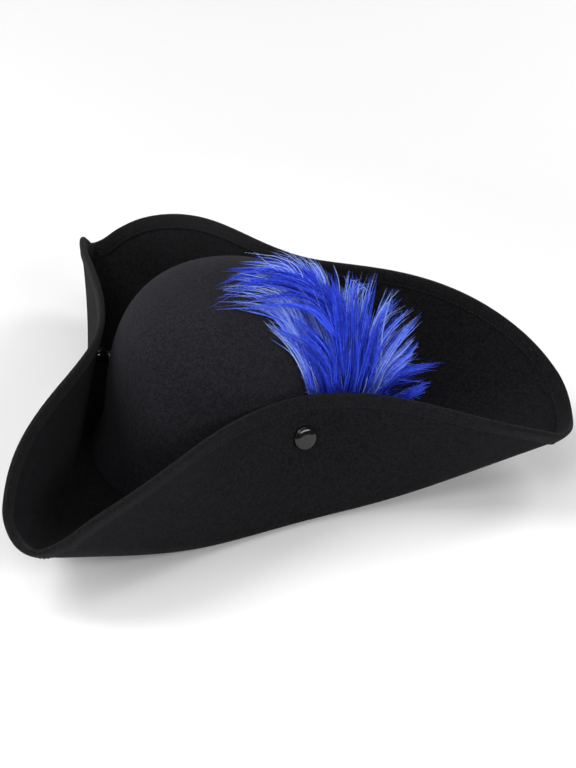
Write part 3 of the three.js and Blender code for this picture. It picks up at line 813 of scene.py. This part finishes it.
# tufts above the left flap: how many small tufts follow each way, how wide they lie, and the way
# itself, from the flap's edge to the tip
ways = [
    (3, 1.6, (78, -20, 86), (63, -19, 117), (40, -18, 135), (12, -42, 136)),
    (5, 4.2, (78, -17, 85), (61, -15, 120), (34, -10, 136), (7, -32, 136)),
    (4, 4.2, (79, -14, 83), (61, -9, 121), (37, -9, 142), (5, -29, 143)),
    (4, 4.2, (80, -12, 83), (59, -5, 122), (39, -9, 148), (12, -27, 151)),
    (3, 3.0, (81, -9, 81), (58, 1, 123), (37, -1, 149), (6, -19, 149)),
    (5, 4.2, (83, -8, 82), (61, 2, 126), (43, 2, 155), (16, -15, 157)),
    (2, 1.6, (83, -8, 82), (61, 2, 129), (45, 1, 159), (20, -16, 164)),
    (4, 4.2, (85, -7, 82), (64, 7, 129), (47, 9, 157), (26, -1, 164)),
    (5, 4.2, (86, -6, 82), (68, 7, 129), (55, 9, 157), (40, 2, 167)),
    (4, 4.2, (88, -5, 82), (72, 7, 128), (62, 8, 156), (52, 3, 169)),
    (2, 1.8, (88, -5, 82), (72, 9, 124), (65, 13, 147), (55, 13, 162)),
    (3, 1.8, (78, -19, 85), (65, -18, 115), (46, -12, 130), (29, -26, 136)),
    (5, 3.0, (79, -14, 83), (64, -10, 118), (45, -9, 142), (20, -29, 142)),
    (5, 4.2, (81, -9, 81), (61, 0, 120), (44, 0, 145), (24, -8, 152)),
    (2, 1.2, (78, -20, 86), (71, -22, 105), (60, -25, 120), (41, -26, 131)),
    (2, 1.2, (78, -19, 85), (70, -19, 107), (59, -20, 122), (43, -27, 130)),
    (2, 2.0, (78, -17, 85), (69, -16, 110), (58, -12, 123), (46, -14, 130)),
    (4, 4.2, (79, -14, 83), (69, -12, 111), (61, -7, 124), (54, -7, 138)),
    (3, 2.4, (79, -16, 82), (77, -22, 90), (75, -23, 97), (72, -22, 106)),
    (3, 2.4, (80, -14, 81), (78, -21, 88), (77, -23, 92), (75, -23, 99)),
    (5, 4.2, (89, -4, 82), (80, 3, 112), (76, 8, 135), (74, 11, 152)),
    (4, 4.2, (92, -2, 82), (86, 5, 114), (83, 8, 138), (81, 15, 164)),
    (4, 4.2, (94, -1, 82), (88, 7, 108), (80, 13, 134), (73, 17, 151)),
    (4, 4.2, (96, 0, 82), (91, 10, 113), (90, 15, 137), (91, 25, 161)),
    (3, 4.2, (97, 1, 82), (95, 10, 114), (95, 14, 136), (96, 20, 160)),
    (3, 3.4, (95, 0, 82), (78, 16, 130), (80, 23, 152), (88, 21, 145)),
    (3, 3.4, (97, 1, 82), (83, 15, 128), (82, 20, 151), (85, 13, 144)),
    (6, 4.2, (90, -3, 82), (83, 1, 109), (75, 3, 135), (67, 1, 151)),
    (6, 4.2, (88, -5, 82), (78, 1, 107), (68, 3, 127), (58, 4, 141)),
    (6, 4.2, (86, -6, 82), (75, -2, 108), (66, -3, 126), (58, -4, 139)),
    (3, 2.5, (101, 3, 83), (100, 12, 113), (101, 14, 132), (108, 25, 156)),
    (5, 4.2, (102, 4, 83), (99, 16, 113), (100, 23, 133), (109, 35, 145)),
    (5, 4.2, (104, 5, 83), (104, 15, 110), (109, 19, 126), (117, 32, 138)),
    (4, 4.2, (106, 6, 83), (111, 13, 105), (118, 20, 123), (124, 34, 136)),
    (4, 4.2, (108, 7, 83), (112, 16, 102), (119, 23, 112), (122, 34, 120)),
    (3, 4.2, (109, 8, 83), (115, 14, 99), (122, 20, 109), (126, 29, 118)),
    (3, 4.2, (110, 9, 83), (115, 11, 98), (123, 14, 108), (129, 22, 115)),
    (2, 1.5, (109, 14, 91), (117, 16, 98), (128, 26, 102), (139, 44, 100)),
    (2, 1.8, (121, 12, 79), (129, 14, 85), (134, 19, 91), (139, 29, 93)),
    (2, 1.4, (123, 12, 78), (131, 13, 84), (136, 15, 89), (140, 21, 92)),
    (3, 4.2, (108, 7, 83), (110, 11, 95), (115, 14, 104), (121, 21, 107)),
    (3, 4.2, (111, 9, 82), (117, 10, 92), (122, 12, 99), (127, 17, 103)),
    (5, 4.2, (104, 5, 83), (103, 9, 105), (104, 11, 123), (107, 17, 142)),
    (6, 4.2, (102, 4, 83), (99, 9, 103), (96, 13, 119), (94, 18, 133)),
    (6, 4.2, (98, 1, 83), (97, 5, 102), (96, 7, 116), (95, 10, 130)),
    (6, 4.2, (93, -2, 82), (92, -2, 98), (92, -1, 114), (92, 1, 128)),
    (6, 4.2, (91, -3, 82), (86, -1, 98), (83, 2, 112), (78, 5, 124)),
    (6, 4.2, (98, 1, 83), (98, 1, 93), (97, 1, 104), (97, 2, 114)),
    (5, 4.2, (83, -8, 82), (77, -10, 97), (74, -12, 110), (70, -13, 122)),
    (5, 4.2, (106, 6, 83), (107, 8, 93), (107, 11, 105), (105, 14, 116)),
    (5, 4.2, (102, 4, 68), (108, 8, 76), (113, 11, 82), (118, 14, 87)),
    (5, 4.2, (103, 5, 64), (111, 9, 71), (118, 12, 77), (125, 17, 82)),
    (4, 4.2, (104, 5, 60), (113, 9, 66), (121, 13, 72), (129, 18, 79)),
]

# single long barbs that cross the others
strays = [
    ((46, 6, 139), (40, -3, 153), (34, -11, 163), (25, -17, 172)),
    ((77, 13, 126), (76, 11, 143), (75, 8, 158), (72, 5, 169)),
    ((111, 10, 84), (109, 12, 105), (107, 15, 130), (108, 22, 153)),
    ((87, 3, 94), (90, 1, 105), (99, 1, 112), (111, -2, 107)),
    ((66, 3, 124), (61, -2, 140), (62, -8, 147), (56, -13, 156)),
    ((75, 5, 116), (69, 0, 132), (69, -4, 142), (65, -7, 154)),
    ((36, 0, 139), (33, -9, 149), (31, -16, 156), (28, -21, 161)),
]

# locks of barbs: how far up the quill they start, how far across it, their tips, and how wide they lie
locks = [
    (0.72, -4, (5, -36, 137), 7),
    (0.76, 0, (1, -27, 140), 7),
    (0.78, 4, (-5, -4, 142), 7),
    (0.7, 6, (10, 9, 150), 8),
    (0.64, 4, (22, 9, 159), 8),
    (0.6, -8, (27, -29, 138), 8),
    (0.4, -14, (42, -33, 132), 7),
    (0.42, -12, (50, -19, 137), 8),
    (0.36, -15, (66, -24, 122), 6),
    (0.58, 0, (45, 9, 161), 8),
    (0.52, 0, (59, 9, 164), 8),
    (0.46, -4, (71, 9, 167), 8),
    (0.42, 0, (84, 10, 168), 9),
    (0.4, 2, (96, 17, 165), 9),
    (0.38, 6, (107, 27, 155), 9),
    (0.36, 10, (116, 34, 140), 9),
    (0.34, 12, (122, 38, 131), 8),
    (0.32, 14, (123, 33, 117), 8),
    (0.3, 16, (139, 43, 101), 6),
    (0.29, 14, (131, 31, 88), 5),
    (0.34, 8, (110, 4, 150), 8),
    (0.32, 8, (114, 2, 124), 8),
    (0.34, -6, (94, -12, 150), 8),
    (0.32, -10, (84, -18, 136), 7),
    (0.36, 4, (86, 34, 140), 8),
    (0.34, 8, (100, 40, 122), 8),
]


def throughPoints(points, stations):
    # smooth curve through a few points, as weights for each of them
    count = points.shape[-2]
    weights = np.zeros((stations, count))
    for row, place in enumerate(np.linspace(0, count - 1, stations)):
        i = min(int(place), count - 2)
        t = place - i
        four = (-t + 2 * t**2 - t**3, 2 - 5 * t**2 + 3 * t**3, t + 4 * t**2 - 3 * t**3, t**3 - t**2)
        for k, weight in zip(range(i - 1, i + 3), 0.5 * np.array(four)):
            if k < 0:
                weights[row, 0] += 2 * weight
                weights[row, 1] -= weight
            elif k >= count:
                weights[row, -1] += 2 * weight
                weights[row, -2] -= weight
            else:
                weights[row, k] += weight
    return weights @ points


quillTrack = throughPoints(np.array(quillPoints, float), quill["trackSteps"])
quillRun = np.concatenate([[0], np.cumsum(np.linalg.norm(np.diff(quillTrack, axis=0), axis=1))])
quillRun /= quillRun[-1]


def pointAt(place, places, track):
    return np.stack([np.interp(place, places, track[:, i]) for i in range(3)], axis=-1)


def quillAt(share):
    return pointAt(share, quillRun, quillTrack)


def quillAtHeight(height):
    # lower, rising part of the quill only
    rising = quillTrack[: int(len(quillTrack) * quill["risingShare"])]
    return pointAt(height, rising[:, 2], rising)


def makeQuill(material):
    shares = np.linspace(0, 1, quill["stations"])
    path = np.array([[quillAt(share) for share in shares]])
    taper = quill["radius"] * (1 - quill["thinning"] * shares ** quill["thinningGrowth"])[None, :]
    piece = strandPiece("plumeQuill", path, taper, quill["sides"], quill["flatness"], material)
    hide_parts("plume")
    print("quill done")


def lockWay(share, across, tip):
    # five points along a lock: it leaves the quill along it and bends over to its tip
    step = plume["tangentStep"]
    tangent = quillAt(share + step) - quillAt(share - step)
    tangent /= np.linalg.norm(tangent)
    sheet = np.array(plume["footSheet"]) * (1 - share) + np.array(plume["tipSheet"]) * share
    root = quillAt(share) + sheet / np.linalg.norm(sheet) * across
    tip = np.array(tip, float)
    bend = root + tangent * np.linalg.norm(tip - root) * plume["spring"]
    start = quillAt(max(share - plume["startBelow"], 0))
    t = np.array((0, 0.33, 0.67, 1))[:, None]
    return np.vstack([start, (1 - t) ** 2 * root + 2 * t * (1 - t) * bend + t**2 * tip])


def rootedWay(points):
    # a way of the front tufts, with its root down on the quill
    way = np.array(points, float)
    away = np.linalg.norm(way[0] - quillAtHeight(way[0, 2]))
    height = way[0, 2] - plume["rootBelow"] - plume["rootSlant"] * away
    return np.vstack([quillAtHeight(max(height, plume["lowestRoot"])), way])


def cutShort(path, end, start=0):
    # the same way, begun late or ended early
    places = np.linspace(start, end, len(path)) * (len(path) - 1)
    return pointAt(places, range(len(path)), path)


def makeTufts(way, tufts, wide, rng):
    # small pointed tufts of barbs along one way, and a few barbs that stray from it
    barbs, tones = [], []
    for i in range(tufts):
        shift = rng.normal(size=3) * wide * np.array(plume["shiftShape"])
        end = rng.uniform(plume["shortestTuft"], 1) if i else 1
        spine = cutShort(way, end) + shift * np.array(plume["tuftShape"])[:, None]
        tone = rng.uniform(*plume["tuftTones"])
        for _ in range(plume["barbsPerTuft"]):
            wild = rng.uniform() < plume["wildShare"]
            shape = plume["wildShape"] if wild else plume["looseShape"]
            spread = np.array(shape)[:, None] * (plume["wildSpread"] if wild else plume["barbSpread"])
            barb = spine + rng.normal(size=3) * spread
            barb = barb + rng.normal(size=barb.shape) * spread * plume["wobble"]
            barbs.append(cutShort(barb, rng.uniform(plume["shortestBarb"], 1)))
            tones.append(np.clip(tone + rng.normal() * plume["toneSpread"] + plume["wildTone"] * wild, 0, 1))
    return barbs, tones


def gatherTufts(rng):
    # front tufts in three groups by where their tips are, and the locks behind them
    groups = {"Left": ([], []), "Middle": ([], []), "Right": ([], []), "Back": ([], [])}
    leftEnd, rightStart = plume["groupLimits"]
    for count, wide, *points in ways:
        way = rootedWay(points)
        tip = way[-1]
        group = "Left" if tip[0] < leftEnd else "Right" if tip[0] > rightStart else "Middle"
        barbs, tones = makeTufts(way, count, wide * plume["wayWidth"], rng)
        paintedShade = np.interp(tip[2], *plume["paintedShadeByHeight"])  # painted shade: low tufts are darkened as though shaded by the tufts above
        groups[group][0].extend(barbs)
        groups[group][1].extend([tone * paintedShade for tone in tones])
    for along, across, tip, wide in locks:
        way = lockWay(along, across, tip)
        barbs, tones = makeTufts(way, plume["tuftsPerLock"], wide * plume["lockWidth"], rng)
        groups["Back"][0].extend(barbs)
        groups["Back"][1].extend([tone * plume["backTone"] for tone in tones])
    return groups


def layBarbs(name, barbs, tones, radius, material, rng):
    share = np.linspace(0, 1, plume["stations"])
    paths = throughPoints(np.array(barbs), plume["stations"])
    rising = np.minimum(plume["rootShare"] + plume["rootGrowth"] * share, 1)
    profile = rising * (1 - share ** plume["tipPower"]) + plume["tipShare"]
    size = radius * rng.uniform(*plume["radiusRange"], (len(paths), 1)) ** 2
    facing = unit(rng.normal(size=(len(paths), 3)))
    # the barbs grow darker towards the bottom of the plume, between these heights
    marks = {"tone": np.array(tones), "along": np.interp(paths[:, :, 2], plume["darkeningHeights"], (0, 1))}
    strandPiece(name, paths, profile[None, :] * size, plume["sides"], plume["flatness"], material,
                facing, marks)
    print(name, len(paths))
    return paths


# fine pale barbs that lie over the others, each slanting from one way to the next; their paleness is partly
# the barbs' own lighter tone and partly painted highlight
overlay = {
    "count": 460, "radius": 0.3, "farthestTips": 26, "slantShape": (0, 0.2, 0.6, 1), "before": 0.35,
    "towardsLight": (0.35, -0.6, 0.7), "lift": (0.5, 4.5), "scatter": 1.5, "ends": (0.75, 1.04),
    "starts": (0.05, 0.55), "raisedShape": (0.2, 0.6, 1, 1, 0.8), "strayBefore": 0.2, "strayScatter": 0.4,
    "tones": (0.75, 1), "paintedShadeOfLowThreads": ((90, 150), (0.55, 1)),
}


def makeThreads(material, rng):
    barbs = []
    for _ in range(overlay["count"]):
        i = rng.integers(0, len(ways))
        way = np.array(ways[i][2:], float)
        other = np.array(ways[min(i + 1, len(ways) - 1)][2:], float)
        if np.linalg.norm(other[-1] - way[-1]) > overlay["farthestTips"]:
            other = way
        slant = np.array(overlay["slantShape"])[:, None] * rng.uniform(0, 1)
        way = way * (1 - slant) + other * slant
        way = np.vstack([way[0] - (way[1] - way[0]) * overlay["before"], way])
        raised = np.array(overlay["towardsLight"]) * rng.uniform(*overlay["lift"])
        raised = raised + rng.normal(size=3) * overlay["scatter"]
        way = cutShort(way, rng.uniform(*overlay["ends"]), rng.uniform(*overlay["starts"]))
        barbs.append(way + raised * np.array(overlay["raisedShape"])[:, None])
    for stray in strays:
        way = np.array(stray, float)
        way = np.vstack([way[0] + (way[0] - way[1]) * overlay["strayBefore"], way])
        barbs.extend([way, way + rng.normal(size=3) * overlay["strayScatter"]])
    heights = [barb[-1, 2] for barb in barbs]
    # painted shade: threads whose tips lie low are darkened as though shaded by the barbs above
    tones = rng.uniform(*overlay["tones"], len(barbs)) * np.interp(heights, *overlay["paintedShadeOfLowThreads"])
    layBarbs("plumeThreads", barbs, tones, overlay["radius"], material, rng)


# short fine barbules on the barbs, which soften their edges
down = {
    "count": 9000, "length": 3.2, "lengthRange": (0.5, 1.3), "radius": 0.1, "sides": 3, "firstStation": 3,
    "swell": (1, 0.8, 0.3), "middle": {"ahead": 0.5, "aside": 0.3}, "tip": {"ahead": 0.95, "aside": 0.75},
    "paler": 0.15, "along": 0.8,
}


def makeDown(paths, tones, material, rng):
    count = down["count"]
    picks = rng.integers(0, len(paths), count)
    places = rng.integers(down["firstStation"], plume["stations"] - 1, count)
    roots = paths[picks, places]
    ahead = unit(roots - paths[picks, places - 1])
    aside = unit(np.cross(ahead, rng.normal(size=(count, 3))))
    length = down["length"] * rng.uniform(*down["lengthRange"], (count, 1))
    bent = [roots + (ahead * part["ahead"] + aside * part["aside"]) * length
            for part in (down["middle"], down["tip"])]
    hairs = np.stack([roots, *bent], axis=1)
    radii = np.tile(np.array(down["swell"]) * down["radius"], (count, 1))
    paler = np.clip(tones[picks] + down["paler"], 0, 1)
    marks = {"tone": paler, "along": np.full(radii.shape, down["along"])}
    strandPiece("plumeDown", hairs, radii, down["sides"], 1, material, aside, marks)
    print("plumeDown", count)


def makePlume(material, quillFinish):
    rng = np.random.default_rng(plume["seed"])
    makeQuill(quillFinish)
    laid, tones = [], []
    for group, (barbs, shades) in gatherTufts(rng).items():
        laid.append(layBarbs("plumeBarbs" + group, barbs, shades, plume["radius"], material, rng))
        tones.append(shades)
    makeThreads(material, rng)
    front = slice(0, 3)  # no barbules on the locks behind
    makeDown(np.concatenate(laid[front]), np.concatenate(tones[front]), material, rng)


# Build

mattedWool = makeWoolGroup()
makeCrown(feltMaterial("crownWoolPaintedLighter", mattedWool, crownSizes))
makeBrim(feltMaterial("brimWool", mattedWool, brim))
makeTape(tapeMaterial())
makeStitches(threadMaterial())
lacqueredCap = lacquerMaterial()
for k in range(3):
    makeStud(k, lacqueredCap)
makePlume(barbMaterial(), quillMaterial())


# Floor, light and camera, in metres

# the far floor glows a little, so that it stays as pale as it is under the lamps
floor = {
    "reach": 15, "below": 0.0006, "colour": (0.93, 0.93, 0.93), "roughness": 0.7, "specular": 0.2,
    "glowFrom": 0.5, "glowTo": 3, "glow": 0.95,
}

lampAim = (0, 0, 0.05)
lamps = [
    {"name": "topSoft", "place": (0, 0, 1.6), "size": 1.2, "watts": 3.5},
    {"name": "topLeft", "place": (-0.9, -0.5, 1.35), "size": 0.8, "watts": 14},
    {"name": "topFront", "place": (0.1, -1.0, 1.35), "size": 0.8, "watts": 5.6},
    {"name": "left", "place": (-1.5, -0.8, 0.9), "size": 0.8, "watts": 8},
    {"name": "right", "place": (1.4, -0.5, 1.0), "size": 1.7, "watts": 17.5, "narrow": 0.3},
    {"name": "back", "place": (0.5, 1.4, 1.2), "size": 0.8, "watts": 10},
    {"name": "lowLeft", "place": (-0.9, -1.7, 0.5), "size": 0.8, "watts": 9},
]
room = {"colour": (1, 1, 1, 1), "strength": 0.05}

photoView = {
    "place": (0.6841, -1.0882, 0.8890), "right": (0.8673, 0.4978, 0), "forward": (-0.4211, 0.7338, -0.5332),
    "roll": -3.469, "lens": 107.3, "sensor": 36, "near": 0.05, "far": 30,
}


def makeFloor():
    bm = bmesh.new()
    bmesh.ops.create_grid(bm, x_segments=2, y_segments=2, size=floor["reach"])
    mesh = meshFrom("paleFloor", bm)
    material, n, shader = newMaterial("paleFloor", floor)
    away = n.add("ShaderNodeVectorMath", {0: n.where()}, operation="LENGTH").outputs["Value"]
    shader["Emission Color"].default_value = (1, 1, 1, 1)
    n.link(n.spread(away, floor["glowFrom"], floor["glowTo"], 0, floor["glow"]), shader["Emission Strength"])
    mesh.materials.append(material)
    plane = placed("paleFloor", mesh)
    plane.location.z = -floor["below"]


def makeLamp(entry):
    lamp = bpy.data.lights.new(entry["name"], "AREA")
    lamp.shape = "ELLIPSE"
    lamp.size = entry["size"]
    lamp.size_y = entry["size"] * entry.get("narrow", 1)
    lamp.energy = entry["watts"]
    holder = placed(entry["name"], lamp)
    holder.location = entry["place"]
    holder.rotation_euler = (Vector(lampAim) - Vector(entry["place"])).to_track_quat("-Z", "Y").to_euler()


def makeRoom():
    world = bpy.data.worlds.new("paleRoom")
    world.use_nodes = True
    background = world.node_tree.nodes["Background"].inputs
    background["Color"].default_value = room["colour"]
    background["Strength"].default_value = room["strength"]
    bpy.context.scene.world = world
    bpy.context.scene.view_settings.view_transform = "Standard"


def makeCamera():
    roll = radians(photoView["roll"])
    right = Vector(photoView["right"]).normalized()
    forward = Vector(photoView["forward"]).normalized()
    up = right.cross(forward).normalized()
    sideways = right * cos(roll) - up * sin(roll)
    upwards = right * sin(roll) + up * cos(roll)
    data = bpy.data.cameras.new("photoCamera")
    data.lens = photoView["lens"]
    data.sensor_width = photoView["sensor"]
    data.clip_start = photoView["near"]
    data.clip_end = photoView["far"]
    camera = placed("photoCamera", data)
    rows = [(sideways[i], upwards[i], -forward[i], photoView["place"][i]) for i in range(3)]
    camera.matrix_world = Matrix((*rows, (0, 0, 0, 1)))
    bpy.context.scene.camera = camera


makeFloor()
for entry in lamps:
    makeLamp(entry)
makeRoom()
makeCamera()
print("floor, light and camera done")
